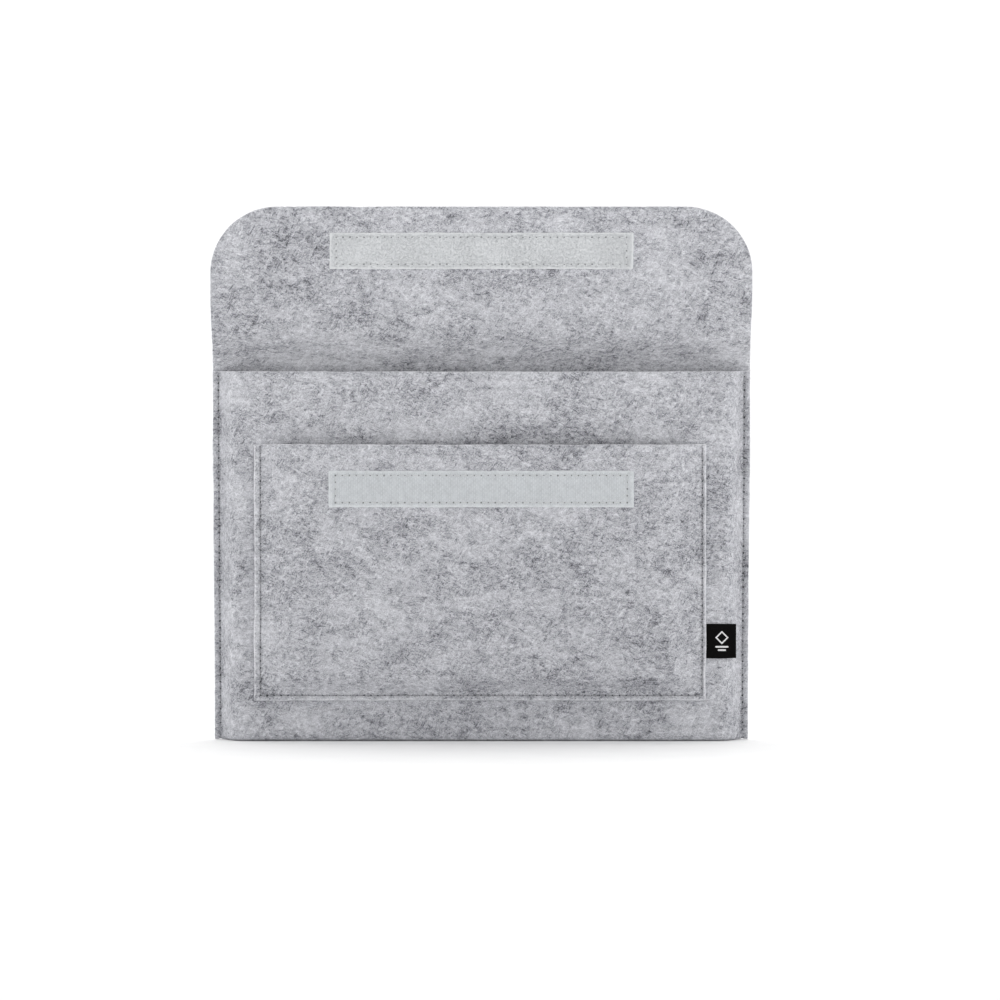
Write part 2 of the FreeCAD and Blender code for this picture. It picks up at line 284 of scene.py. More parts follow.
def rest_place(tree):
    """The place of a point before any joint moved it."""
    place = tree.nodes.new("ShaderNodeAttribute")
    place.attribute_name = "rest"
    return place.outputs["Vector"]


def add_noise(tree, place, scale, detail=2.0, rough=0.5, twist=0.0, squash=(1, 1, 1)):
    """A noise texture on a stretched copy of place."""
    mapping = tree.nodes.new("ShaderNodeMapping")
    mapping.inputs["Scale"].default_value = squash
    tree.links.new(place, mapping.inputs["Vector"])
    texture = tree.nodes.new("ShaderNodeTexNoise")
    texture.inputs["Scale"].default_value = scale
    texture.inputs["Detail"].default_value = detail
    texture.inputs["Roughness"].default_value = rough
    texture.inputs["Distortion"].default_value = twist
    tree.links.new(mapping.outputs["Vector"], texture.inputs["Vector"])
    return texture.outputs["Fac"]


def maths(tree, kind, first, second=None):
    """A Math node on sockets or numbers."""
    node = tree.nodes.new("ShaderNodeMath")
    node.operation = kind
    for socket, value in zip(node.inputs, (first, second)):
        if value is None:
            continue
        if isinstance(value, (int, float)):
            socket.default_value = value
        else:
            tree.links.new(value, socket)
    return node.outputs["Value"]


def weighted(tree, terms):
    """The sum of sockets, each times its weight."""
    total = None
    for socket, weight in terms:
        part = maths(tree, "MULTIPLY", socket, weight)
        total = part if total is None else maths(tree, "ADD", total, part)
    return total


def add_ramp(tree, value, stops):
    """A colour ramp; stops are (position, colour)."""
    node = tree.nodes.new("ShaderNodeValToRGB")
    ramp = node.color_ramp
    while len(ramp.elements) < len(stops):
        ramp.elements.new(0.5)
    for element, (position, colour) in zip(ramp.elements, stops):
        element.position = position
        element.color = (*colour, 1.0)
    tree.links.new(value, node.inputs["Fac"])
    return node.outputs["Color"]


def add_bump(tree, shader, height, strength, distance):
    """Surface relief from a height."""
    bump = tree.nodes.new("ShaderNodeBump")
    bump.inputs["Strength"].default_value = strength
    bump.inputs["Distance"].default_value = distance
    tree.links.new(height, bump.inputs["Height"])
    tree.links.new(bump.outputs["Normal"], shader.inputs["Normal"])


def map_range(tree, value, low, high, to_low=0.0, to_high=1.0):
    """Value stretched from one span to another, smoothly and clamped."""
    node = tree.nodes.new("ShaderNodeMapRange")
    node.interpolation_type = "SMOOTHSTEP"
    tree.links.new(value, node.inputs["Value"])
    for name, number in (("From Min", low), ("From Max", high), ("To Min", to_low),
                         ("To Max", to_high)):
        node.inputs[name].default_value = number
    return node.outputs["Result"]


def add_streaks(tree, place, scale, angle, length):
    """Noise drawn out into curly fibres that lie at an angle in the sheet."""
    turned = tree.nodes.new("ShaderNodeMapping")
    turned.inputs["Rotation"].default_value = (0, math.radians(angle), 0)
    tree.links.new(place, turned.inputs["Vector"])
    return add_noise(tree, turned.outputs["Vector"], scale, detail=1.5, rough=0.6, twist=1.4,
                     squash=(1 / length, 1, 1))


def painted_shade_and_light(tree):
    """Painted highlight on cut edges and the pocket's border (above 0), painted shade where
    stitches press in (below 0).
    """
    node = tree.nodes.new("ShaderNodeAttribute")
    node.attribute_name = "painted_shade_and_light"
    return node.outputs["Fac"]


def felt_material():
    """Needle felt: light and dark grey fibres matted in every direction."""
    material, tree, shader = new_material("heather_felt")
    place = rest_place(tree)
    cloud = add_noise(tree, place, 32, detail=7.0, rough=0.84, twist=0.25, squash=(0.7, 1, 1.1))
    fleck = add_noise(tree, place, 300, rough=0.6, twist=0.6, squash=(0.8, 1, 1.05))
    dark, light = None, None
    for angle in (8, 62, 151):
        streak = add_streaks(tree, place, 800, angle, length=4.0)
        darker = map_range(tree, streak, 0.46, 0.26)
        lighter = map_range(tree, streak, 0.54, 0.74)
        dark = darker if dark is None else maths(tree, "MAXIMUM", dark, darker)
        light = lighter if light is None else maths(tree, "MAXIMUM", light, lighter)
    thick_of_dark = map_range(tree, cloud, 0.62, 0.36, 0.35, 1.0)
    dark = maths(tree, "MULTIPLY", dark, thick_of_dark)
    grain = add_noise(tree, place, 1500, rough=0.7)
    # The attribute read last adds painted shade in the stitch grooves and painted highlights on
    # cut edges and the pocket's border.
    mixed = weighted(tree, [(cloud, 0.46), (fleck, 0.26), (grain, 0.43), (light, 0.12),
                            (dark, -0.20), (painted_shade_and_light(tree), 1.0)])
    colour = add_ramp(tree, mixed, FELT_STOPS)
    tree.links.new(colour, shader.inputs["Base Color"])
    shader.inputs["Roughness"].default_value = 0.95
    shader.inputs["Specular IOR Level"].default_value = 0.2
    shader.inputs["Sheen Weight"].default_value = 0.12
    shader.inputs["Sheen Roughness"].default_value = 0.5
    relief = weighted(tree, [(light, 0.5), (grain, 0.35), (dark, -0.3), (cloud, 0.3)])
    add_bump(tree, shader, relief, strength=0.6, distance=0.35 * MM)
    return material


def thread_material(name, colour):
    """Spun polyester thread with its twist."""
    material, tree, shader = new_material(name)
    place = rest_place(tree)
    fibres = add_noise(tree, place, 2600, twist=0.4)
    dark = tuple(c * 0.72 for c in colour)
    tree.links.new(add_ramp(tree, fibres, [(0.35, dark), (0.62, colour)]),
                   shader.inputs["Base Color"])
    shader.inputs["Roughness"].default_value = 0.7
    shader.inputs["Sheen Weight"].default_value = 0.2
    add_bump(tree, shader, fibres, strength=0.5, distance=0.1 * MM)
    return material


def needle_hole_shade_material(name, dark, light):
    """Painted shade: the dark colour of the shadow in the hollow that a needle leaves."""
    material, tree, shader = new_material(name)
    place = rest_place(tree)
    fibres = add_noise(tree, place, 1800)
    tree.links.new(add_ramp(tree, fibres, [(0.35, dark), (0.65, light)]),
                   shader.inputs["Base Color"])
    shader.inputs["Roughness"].default_value = 1.0
    shader.inputs["Specular IOR Level"].default_value = 0.05
    return material


def tape_material(name, pale, deep, rib):
    """Woven nylon ground of a tape, with ribs across its length."""
    material, tree, shader = new_material(name)
    place = rest_place(tree)
    split = tree.nodes.new("ShaderNodeSeparateXYZ")
    tree.links.new(place, split.inputs["Vector"])
    ribs = maths(tree, "SINE", maths(tree, "MULTIPLY", split.outputs["X"], 2 * math.pi / rib))
    rows = maths(tree, "SINE", maths(tree, "MULTIPLY", split.outputs["Z"],
                                     2 * math.pi / (0.7 * rib)))
    blotch = add_noise(tree, place, 260, detail=3.0, rough=0.6)
    fibre = add_noise(tree, place, 1500)
    mixed = weighted(tree, [(blotch, 0.62), (fibre, 0.30), (ribs, 0.05), (rows, 0.04)])
    tree.links.new(add_ramp(tree, mixed, [(0.32, deep), (0.58, pale)]),
                   shader.inputs["Base Color"])
    shader.inputs["Roughness"].default_value = 0.6
    shader.inputs["Sheen Weight"].default_value = 0.25
    relief = weighted(tree, [(ribs, 0.35), (rows, 0.25), (fibre, 0.4)])
    add_bump(tree, shader, relief, strength=0.4, distance=0.2 * MM)
    return material


def filament_material(name, pale, deep, roughness):
    """Bare nylon filament of the hooks and the loops."""
    material, tree, shader = new_material(name)
    place = rest_place(tree)
    patch = add_noise(tree, place, 320, detail=2.5)
    tree.links.new(add_ramp(tree, patch, [(0.35, deep), (0.62, pale)]),
                   shader.inputs["Base Color"])
    shader.inputs["Roughness"].default_value = roughness
    grain = add_noise(tree, place, 4000, detail=1.0)
    add_bump(tree, shader, grain, strength=0.2, distance=0.05 * MM)
    return material


def ribbon_material(name, warp, weft, pitch, shine):
    """Satin ribbon: fine weft lines with a slight change between picks."""
    material, tree, shader = new_material(name)
    place = rest_place(tree)
    split = tree.nodes.new("ShaderNodeSeparateXYZ")
    tree.links.new(place, split.inputs["Vector"])
    picks = maths(tree, "SINE", maths(tree, "MULTIPLY", split.outputs["Z"], 2 * math.pi / pitch))
    ends = maths(tree, "SINE", maths(tree, "MULTIPLY", split.outputs["X"],
                                     2 * math.pi / (pitch * 1.5)))
    fuzz = add_noise(tree, place, 1500)
    mixed = weighted(tree, [(picks, 0.12), (ends, 0.08), (fuzz, 0.8)])
    tree.links.new(add_ramp(tree, mixed, [(0.28, warp), (0.60, weft)]),
                   shader.inputs["Base Color"])
    shader.inputs["Roughness"].default_value = 0.75
    shader.inputs["Specular IOR Level"].default_value = shine
    relief = weighted(tree, [(picks, 0.5), (ends, 0.3), (fuzz, 0.2)])
    add_bump(tree, shader, relief, strength=0.5, distance=0.08 * MM)
    return material


def floor_material():
    """Plain pale floor."""
    material, tree, shader = new_material("pale_floor")
    place = tree.nodes.new("ShaderNodeTexCoord").outputs["Object"]
    speck = add_noise(tree, place, 30)
    tree.links.new(add_ramp(tree, speck, [(0.3, (0.94, 0.94, 0.94)), (0.7, (0.96, 0.96, 0.96))]),
                   shader.inputs["Base Color"])
    shader.inputs["Roughness"].default_value = 0.9
    return material


FELT_LOOK = felt_material()
THREAD_LOOK = thread_material("grey_thread", (0.31, 0.315, 0.33))
TAPE_THREAD_LOOK = thread_material("pale_thread", (0.70, 0.715, 0.73))
# Needle holes are dark discs of painted shade, on the felt and on the tapes.
NEEDLE_HOLE_SHADE_LOOK = needle_hole_shade_material("felt_needle_hole_shade", (0.035, 0.036, 0.040), (0.095, 0.097, 0.105))
TAPE_HOLE_SHADE_LOOK = needle_hole_shade_material("tape_needle_hole_shade", (0.14, 0.15, 0.15), (0.34, 0.35, 0.36))
LOOP_TAPE_LOOK = tape_material("loop_tape_ground", (0.650, 0.664, 0.677), (0.620, 0.632, 0.645),
                               1.1 * MM)
HOOK_TAPE_LOOK = tape_material("hook_tape_ground", (0.665, 0.688, 0.709), (0.540, 0.561, 0.580),
                               0.9 * MM)
PILE_LOOK = filament_material("loop_filament", (0.629, 0.645, 0.662), (0.604, 0.619, 0.634), 0.6)
HOOK_LOOK = filament_material("hook_filament", (0.800, 0.824, 0.843), (0.722, 0.744, 0.763), 0.5)
LABEL_LOOK = ribbon_material("black_ribbon", (0.0015, 0.0013, 0.0013), (0.005, 0.0045, 0.0045),
                             0.42 * MM, 0.06)
MARK_LOOK = ribbon_material("white_weft", (0.62, 0.62, 0.62), (0.90, 0.90, 0.90), 0.42 * MM, 0.3)


# ---------------------------------------------------------------- the main strip of felt
def half_width(height):
    """Half the strip's width at a height on the back, its taper and rounded corners."""
    body = BOTTOM_HALF + (BODY_HALF - BOTTOM_HALF) * ease(height / MOUTH)
    spread = ease((height - MOUTH) / FLAP_SPREAD)
    wide = body + (FLAP_HALF - BODY_HALF) * spread
    over = height - (FLAP_TOP - FLAP_CORNER)
    if over <= 0:
        return wide - RIM
    radius = FLAP_CORNER - RIM
    return wide - FLAP_CORNER + math.sqrt(max(0.0, radius ** 2 - over ** 2))


def strip_columns():
    """For each column of the strip: half-strip place on the back, and (x, y) in front."""
    corners = [Vector((0, FRONT_MID)), Vector((WALL_TOP, FRONT_MID)),
               Vector((WALL_FOOT, LIP_MID)), Vector((BODY_HALF - RIM, LIP_MID))]
    path = rounded_path(corners, WALL_BENDS, FINE_STEP)
    measured = [0.0]
    for here, after in zip(path, path[1:]):
        measured.append(measured[-1] + (after - here).length)
    measured = np.array(measured)
    xs = np.array([p.x for p in path])
    ys = np.array([p.y for p in path])
    seam = np.interp(BODY_HALF - SIDE_SEAM_INSET, xs, measured)
    wall_start = np.interp(WALL_TOP - 4 * MM, xs, measured)
    places = [0.0]
    while places[-1] < measured[-1]:
        here = places[-1]
        step = FLAT_STEP
        if here > wall_start - 12 * MM:
            step = 2.4 * MM
        if here > wall_start:
            step = 1.15 * MM
        if abs(here - seam) < 2.2 * MM:
            step = FINE_STEP
        places.append(here + step)
    places = np.array(places) * (measured[-1] / places[-1])
    front_x = np.interp(places, measured, xs)
    front_y = np.interp(places, measured, ys)
    lean = WALL_TOP - 6 * MM
    lean_place = np.interp(lean, xs, measured)
    lip = BODY_HALF - SIDE_SEAM_INSET - 1.2 * MM
    lip_place = np.interp(lip, xs, measured)
    back_x = np.interp(places, [0, lean_place, lip_place, measured[-1]],
                       [0, lean, lip, BODY_HALF - RIM])
    back = np.concatenate([-back_x[:0:-1], back_x])
    front = np.concatenate([-front_x[:0:-1], front_x])
    depth = np.concatenate([front_y[:0:-1], front_y])
    return back, front, depth


FOLD_HEIGHT = 10 * MM        # where the panels begin to turn into the bottom fold
FOLD_CORNER = 3.2 * MM       # radius of its two bends
CREASE_ROWS = 19
BACK_ROWS = 54
FOLD_ROWS = 22
FRONT_ROWS = 52
MOUTH_ROWS = 6               # closer rows along the front panel's top edge
MOUTH_REACH = 12 * MM        # and how far down from it they go
CREASE_GRAIN = 0.65


def under_path(span, share):
    """(depth, height) along the fold from the back, for panels that lie span apart."""
    radius = min(span / 2, FOLD_CORNER)
    upright = FOLD_HEIGHT - HALF - radius
    level = span - 2 * radius
    arc = math.pi / 2 * radius
    walked = share * (2 * upright + 2 * arc + level)
    if walked <= upright:
        return 0.0, FOLD_HEIGHT - walked
    walked -= upright
    if walked <= arc:
        turn = walked / radius
        return radius * (1 - math.cos(turn)), HALF + radius * (1 - math.sin(turn))
    walked -= arc
    if walked <= level:
        return radius + walked, HALF
    walked -= level
    if walked <= arc:
        turn = walked / radius
        return span - radius * (1 - math.sin(turn)), HALF + radius * (1 - math.cos(turn))
    return span, HALF + radius + (walked - arc)


def strip_heights():
    """Heights of the rows down the back, from the flap's top edge to the bottom fold."""
    corner_rows = 15
    heights = [FLAP_TOP - FLAP_CORNER + (FLAP_CORNER - RIM) * math.sin(math.radians(a))
               for a in np.linspace(90, 0, corner_rows)]
    heights += list(np.arange(heights[-1] - FLAT_STEP, FLAP_START, -FLAT_STEP))
    heights += list(np.linspace(FLAP_START, MOUTH, CREASE_ROWS))
    heights += list(np.linspace(MOUTH, FOLD_HEIGHT, BACK_ROWS)[1:])
    return heights


def clear_of_tape(tape_box, x, z):
    """From 0 under a tape, where the felt lies flat, to 1 a little way off it."""
    low, high = tape_box
    past = np.maximum(np.abs(x) - high.x, np.maximum(z - high.z, low.z - z))
    return ease((past + 4 * MM) / (14 * MM))


def slacken_grain(piece):
    """Draw the fibre pattern closer together in the crease, which stretches when it folds."""
    rest = piece.data.attributes["rest"].data
    places = np.empty(len(rest) * 3, np.float32)
    rest.foreach_get("vector", places)
    places = places.reshape(-1, 3)
    crease = FLAP_START - MOUTH
    places[:, 2] += CREASE_GRAIN * crease * ease((places[:, 2] - MOUTH) / crease)
    rest.foreach_set("vector", places.ravel())


def make_felt_body():
    """Flap, back, bottom fold and front: one strip of felt, folded at the bottom."""
    back_x, front_x, front_y = strip_columns()
    rows = []
    for height in strip_heights():
        scale = half_width(height) / (BODY_HALF - RIM)
        rows.append(np.stack([back_x * scale, np.full_like(back_x, BACK_MID),
                              np.full_like(back_x, height)], axis=1))
    low_scale = half_width(0.0) / (BODY_HALF - RIM)
    for share in np.linspace(0, 1, FOLD_ROWS)[1:]:
        line = []
        for x_back, x_front, y_front in zip(back_x, front_x, front_y):
            span = BACK_MID - y_front
            depth, height = under_path(span, share)
            x = x_back + (x_front - x_back) * float(ease(depth / span))
            line.append((x * low_scale, BACK_MID - depth, height))
        rows.append(np.array(line))
    closer = MOUTH - MOUTH_REACH
    for height in np.concatenate([np.linspace(FOLD_HEIGHT, closer, FRONT_ROWS)[1:],
                                  np.linspace(closer, MOUTH - RIM, MOUTH_ROWS)[1:]]):
        scale = half_width(height) / (BODY_HALF - RIM)
        rows.append(np.stack([front_x * scale, front_y, np.full_like(front_x, height)], axis=1))
    middle = np.array(rows)
    x, y, z = middle[..., 0], middle[..., 1], middle[..., 2]
    in_front = y < (BACK_MID + LIP_MID) / 2
    flat_part = ease((WALL_TOP - np.abs(x)) / (30 * MM))
    sway = ripples(middle, (75 * MM, 0.55 * MM, 1.0), (30 * MM, 0.2 * MM, 2.0))
    clear_of_floor = ease((z - FOLD_HEIGHT) / (30 * MM))
    free = np.where(in_front | (z < MOUTH), 1.0, clear_of_tape(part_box("loop_tape"), x, z))
    middle[..., 1] += sway * flat_part * clear_of_floor * free
    mouth_bow = 1.3 * MM * ease((z - MOUTH + 70 * MM) / (70 * MM)) * np.cos(
        np.clip(x / WALL_TOP, -1, 1) * math.pi / 2)
    middle[..., 1] -= np.where(in_front, mouth_bow, 0.0)
    side_wobble = ripples(middle, (30 * MM, 0.16 * MM, 4.0), (7 * MM, 0.03 * MM, 5.0))
    edge_share = ease((np.abs(x) - WALL_FOOT) / (BODY_HALF - WALL_FOOT))
    middle[..., 0] += side_wobble * edge_share
    top_share = ease((z - (FLAP_TOP - 14 * MM)) / (14 * MM))
    middle[..., 2] += top_share * side_wobble * 0.8
    mouth_share = np.where(in_front, ease((z - (MOUTH - 10 * MM)) / (10 * MM)), 0.0)
    middle[..., 2] += mouth_share * (side_wobble - 0.2 * MM)
    seam_x = (BODY_HALF - SIDE_SEAM_INSET) * np.array([half_width(h) for h in z[:, 0]])[:, None]
    seam_x = seam_x / (BODY_HALF - RIM)
    beside = np.abs(np.abs(x) - seam_x)
    sewn = np.where(z < MOUTH, 1.0, 0.0)
    # The stitch press both sinks the groove and colours painted shade into it.
    dents_and_painted_shade = np.exp(-(beside / GROOVE_REACH) ** 2) * sewn
    piece = sheet_mesh("felt_body", middle, HALF - GROOVE_DEPTH * dents_and_painted_shade, HALF, RIM, FELT_LOOK,
                       fray=0.22, dents_and_painted_shade=dents_and_painted_shade)
    slacken_grain(piece)
    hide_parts("back_panel", "flap_crease", "flap", "bottom_fold", "front_panel")
    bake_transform(piece)


# ---------------------------------------------------------------- the pocket
def pocket_rise(x, z):
    """How far the pocket stands off its sewn border, from 0 to 1."""
    side = (np.minimum(x - POCKET_LOW.x, POCKET_HIGH.x - x) - POCKET_LIP) / POCKET_SIDE_RUN
    foot = (z - POCKET_LOW.z - POCKET_LIP) / POCKET_FOOT_RUN
    return ease(side) * ease(foot)


def make_pocket():
    """The front pocket: sewn down on three sides, open at the top."""
    seam_x = POCKET_SEAM_HALF
    seam_z = POCKET_LOW.z + POCKET_SEAM_INSET
    coarse, fine, reach = 4.2 * MM, 0.45 * MM, 1.3 * MM
    xs = graded(POCKET_LOW.x + RIM, POCKET_HIGH.x - RIM, coarse, (-seam_x, seam_x), fine, reach)
    zs = graded(POCKET_LOW.z + RIM, POCKET_HIGH.z - RIM, coarse,
                (seam_z, POCKET_HIGH.z - 1 * MM), fine, reach)
    x, z = np.meshgrid(xs, zs)
    lifted = pocket_rise(x, z)
    y = POCKET_LIP_MID - POCKET_RISE * lifted
    middle = np.stack([x, y, z], axis=2)
    beside = np.minimum(seam_x - np.abs(x), z - seam_z)
    flare = 0.9 * MM * ease(-beside / (3.6 * MM))
    sway = ripples(middle, (60 * MM, 0.5 * MM, 6.0), (24 * MM, 0.2 * MM, 7.0))
    free = clear_of_tape(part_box("hook_tape"), x, z) * ease(beside / (16 * MM))
    middle[..., 1] += sway * free - flare
    mouth_bow = 1.0 * MM * ease((z - POCKET_HIGH.z + 16 * MM) / (16 * MM))
    middle[..., 1] -= mouth_bow * np.cos(np.clip(x / seam_x, -1, 1) * math.pi / 2) ** 0.5
    wobble = ripples(middle, (20 * MM, 0.28 * MM, 8.0), (6 * MM, 0.1 * MM, 9.0))
    middle[..., 0] += wobble * ease((np.abs(x) - seam_x + 3 * MM) / (6 * MM))
    low_share = ease((seam_z + 3 * MM - z) / (6 * MM))
    high_share = ease((z - POCKET_HIGH.z + 8 * MM) / (8 * MM))
    middle[..., 2] += wobble * (low_share + high_share)
    dents_and_painted_shade = np.exp(-(beside / GROOVE_REACH) ** 2)
    # Painted highlight: the pocket's border outside the seam is coloured paler.
    lip = ease(-beside / (1.8 * MM))
    piece = sheet_mesh("pocket_felt", middle, HALF - GROOVE_DEPTH * dents_and_painted_shade, HALF, RIM, FELT_LOOK,
                       fray=0.35, dents_and_painted_shade=dents_and_painted_shade - LIP_PAINTED_HIGHLIGHT * lip)
    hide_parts("pocket_panel")
    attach(piece, "sleeve")


# ---------------------------------------------------------------- stitches
THREAD = 0.34 * MM           # radius of the sewing thread
STITCH_SIDES = 7
STITCH_RINGS = 9
HOLE_SHADE_CORNERS = 9


def tube_rings(path, radii, sides):
    """Points of a tube round a short path, ring by ring."""
    points = []
    for k, here in enumerate(path):
        before = path[max(0, k - 1)]
        after = path[min(len(path) - 1, k + 1)]
        ahead = (after - before).normalized()
        side = ahead.cross(Vector((0, 1, 0)))
        if side.length < 0.2:
            side = ahead.cross(Vector((1, 0, 0)))
        side.normalize()
        up = side.cross(ahead)
        for n in range(sides):
            angle = 2 * math.pi * n / sides
            points.append(here + side * (radii[k] * math.cos(angle))
                          + up * (radii[k] * math.sin(angle)))
    return points


def tube_faces(first, rings, sides):
    """Quads between a tube's rings, with both ends closed."""
    faces = []
    for k in range(rings - 1):
        for n in range(sides):
            m = (n + 1) % sides
            a = first + k * sides
            faces.append((a + n, a + m, a + sides + m, a + sides + n))
    last = first + (rings - 1) * sides
    faces.append(tuple(first + n for n in range(sides - 1, -1, -1)))
    faces.append(tuple(last + n for n in range(sides)))
    return faces


def add_tube(points, faces, path, radii, sides):
    """Append a closed tube round a path to a mesh's lists."""
    first = len(points)
    points += tube_rings(path, radii, sides)
    faces += tube_faces(first, len(path), sides)


def hole_shade_patch(centre, outward, radius, rng):
    """An uneven little disc of painted shade where the needle went in."""
    side = Vector((1, 0, 0))
    up = Vector((0, 0, 1))
    rim = [centre + (side * math.cos(a) + up * math.sin(a)) * radius * rng.uniform(0.75, 1.2)
           for a in (2 * math.pi * n / HOLE_SHADE_CORNERS for n in range(HOLE_SHADE_CORNERS))]
    deep = centre - outward * 0.12 * MM
    return [deep] + rim


def sew(name, route, outward, look, body, slack=0.0, seed=1, slant=0.06, hole_shade_size=0.8 * MM,
        hole_shade_look=NEEDLE_HOLE_SHADE_LOOK):
    """Stitches along a route of straight stretches, with a dark disc of painted shade at each
    needle hole; outward points out of the cloth.
    """
    rng = random.Random(seed)
    points, faces, kinds = [], [], []
    for start, end in zip(route, route[1:]):
        run = end - start
        count = max(1, round(run.length / STITCH_PITCH))
        ahead = run.normalized()
        side = ahead.cross(outward)
        for i in range(count):
            middle = start + run * ((i + 0.5) / count)
            reach = STITCH_PITCH * rng.uniform(0.37, 0.41)
            tilt = ahead + side * (slant + rng.uniform(-0.05, 0.05))
            lift = 0.12 * MM + slack + rng.uniform(-0.05, 0.05) * MM
            path, radii = [], []
            for k in range(STITCH_RINGS):
                share = -1 + 2 * k / (STITCH_RINGS - 1)
                dive = -0.85 * MM * abs(share) ** 4
                path.append(middle + tilt * (reach * share) + outward * (lift + dive))
                radii.append(THREAD * (1.0 - 0.12 * math.cos(share * 7 + i)))
            add_tube(points, faces, path, radii, STITCH_SIDES)
            kinds += [0] * (len(faces) - len(kinds))
            # Painted shade: a dark disc where the needle hole's shadow lies.
            shade_spot = start + run * (i / count) + outward * (0.14 * MM + slack * 0.5)
            first = len(points)
            points += hole_shade_patch(shade_spot, outward, hole_shade_size * rng.uniform(0.55, 1.0), rng)
            faces += [(first, first + 1 + n, first + 1 + (n + 1) % HOLE_SHADE_CORNERS)
                      for n in range(HOLE_SHADE_CORNERS)]
            kinds += [1] * (len(faces) - len(kinds))
    piece = add_mesh(f"{name}_stitches", points, faces, [look, hole_shade_look], kinds)
    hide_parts(name)
    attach(piece, body)


TOWARDS = Vector((0, -1, 0))
BEHIND = Vector((0, 1, 0))


def make_side_seams():
    """Lockstitch down both sides, needle thread in front and bobbin thread behind."""
    low, high = FELT + SIDE_SEAM_INSET, MOUTH - SIDE_SEAM_INSET
    inset = (BODY_HALF - SIDE_SEAM_INSET) / (BODY_HALF - RIM)
    for number, (side, sign) in enumerate((("left", -1), ("right", 1))):
        ends = [(sign * half_width(h) * inset, h) for h in np.linspace(high, low, 5)]
        front_y = LIP_MID - HALF + GROOVE_DEPTH
        rear_y = BACK_FACE - GROOVE_DEPTH
        sew(f"side_seam_{side}_needle_thread", [Vector((x, front_y, z)) for x, z in ends],
            TOWARDS, THREAD_LOOK, "sleeve", seed=11 + number)
        sew(f"side_seam_{side}_bobbin_thread", [Vector((x, rear_y, z)) for x, z in ends],
            BEHIND, THREAD_LOOK, "sleeve", seed=21 + number)


def make_pocket_seam():
    """Down the left of the pocket, along its bottom and up its right."""
    half = POCKET_SEAM_HALF
    low = POCKET_LOW.z + POCKET_SEAM_INSET
    high = POCKET_HIGH.z - 1.7 * MM
    corners = [(-half, high), (-half, low), (half, low), (half, high)]
    front_y = POCKET_LIP_MID - HALF + GROOVE_DEPTH
    rear_y = FRONT_MID + HALF
    sew("pocket_seam_needle_thread", [Vector((x, front_y, z)) for x, z in corners],
        TOWARDS, THREAD_LOOK, "sleeve", seed=31)
    sew("pocket_seam_bobbin_thread", [Vector((x, rear_y, z)) for x, z in corners],
        BEHIND, THREAD_LOOK, "sleeve", seed=32)


def tape_seam(low, high):
    """Left, right, foot and top of the rectangle of stitches in a tape's box."""
    return (low.x + TAPE_SEAM_END, high.x - TAPE_SEAM_END,
            low.z + TAPE_SEAM_INSET, high.z - TAPE_SEAM_INSET)


def tape_corners(node):
    """The rectangle of stitches that holds a tape, once round."""
    low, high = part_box(node)
    left, right, foot, top = tape_seam(low, high)
    return [(left, foot), (right, foot), (right, top), (left, top), (left, foot)]


def make_tape_seams():
    """One rectangle of stitches round each closure tape."""
    for number, (node, body, rear_y) in enumerate((
            ("hook_tape", "sleeve", POCKET_LOW.y + FELT), ("loop_tape", "flap", BACK_FACE))):
        low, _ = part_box(node)
        corners = tape_corners(node)
        sew(f"{node}_seam_needle_thread", [Vector((x, low.y, z)) for x, z in corners],
            TOWARDS, TAPE_THREAD_LOOK, body, slack=0.25 * MM, seed=41 + number,
            hole_shade_size=0.62 * MM, hole_shade_look=TAPE_HOLE_SHADE_LOOK)
        sew(f"{node}_seam_bobbin_thread", [Vector((x, rear_y, z)) for x, z in corners],
            BEHIND, THREAD_LOOK, body, seed=51 + number)


# ---------------------------------------------------------------- closure tapes
TAPE_BOXES = {node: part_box(node) for node in ("hook_tape", "loop_tape")}


def seam_gap(node, x, z):
    """Distance from a place on a tape to its rectangle of stitches."""
    left, right, foot, top = tape_seam(*TAPE_BOXES[node])
    inside = min(x - left, right - x, z - foot, top - z)
    if inside >= 0:
        return inside
    return max(left - x, x - right, foot - z, z - top)


def make_tape_ground(node, look, body, seed):
    """The woven ground of a tape, pressed into the felt under its stitches."""
    low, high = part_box(node)
    sunk, rim = 0.35 * MM, 0.25 * MM
    half = (high.y - low.y + sunk) / 2
    xs = np.linspace(low.x + rim, high.x - rim, 141)
    zs = np.linspace(low.z + rim, high.z - rim, 25)
    x, z = np.meshgrid(xs, zs)
    middle = np.stack([x, np.full_like(x, low.y + half), z], axis=2)
    gaps = np.array([[seam_gap(node, a, b) for a in xs] for b in zs])
    middle[..., 1] += 0.10 * MM * np.exp(-(gaps / (1.0 * MM)) ** 2)
    middle[..., 1] += ripples(middle, (14 * MM, 0.06 * MM, seed))
    wobble = ripples(middle, (16 * MM, 0.18 * MM, seed + 1))
    middle[..., 2] += wobble
    middle[..., 0] += wobble
    piece = sheet_mesh(f"{node}_ground", middle, half, half, rim, look, fray=0.8)
    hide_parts(node)
    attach(piece, body)


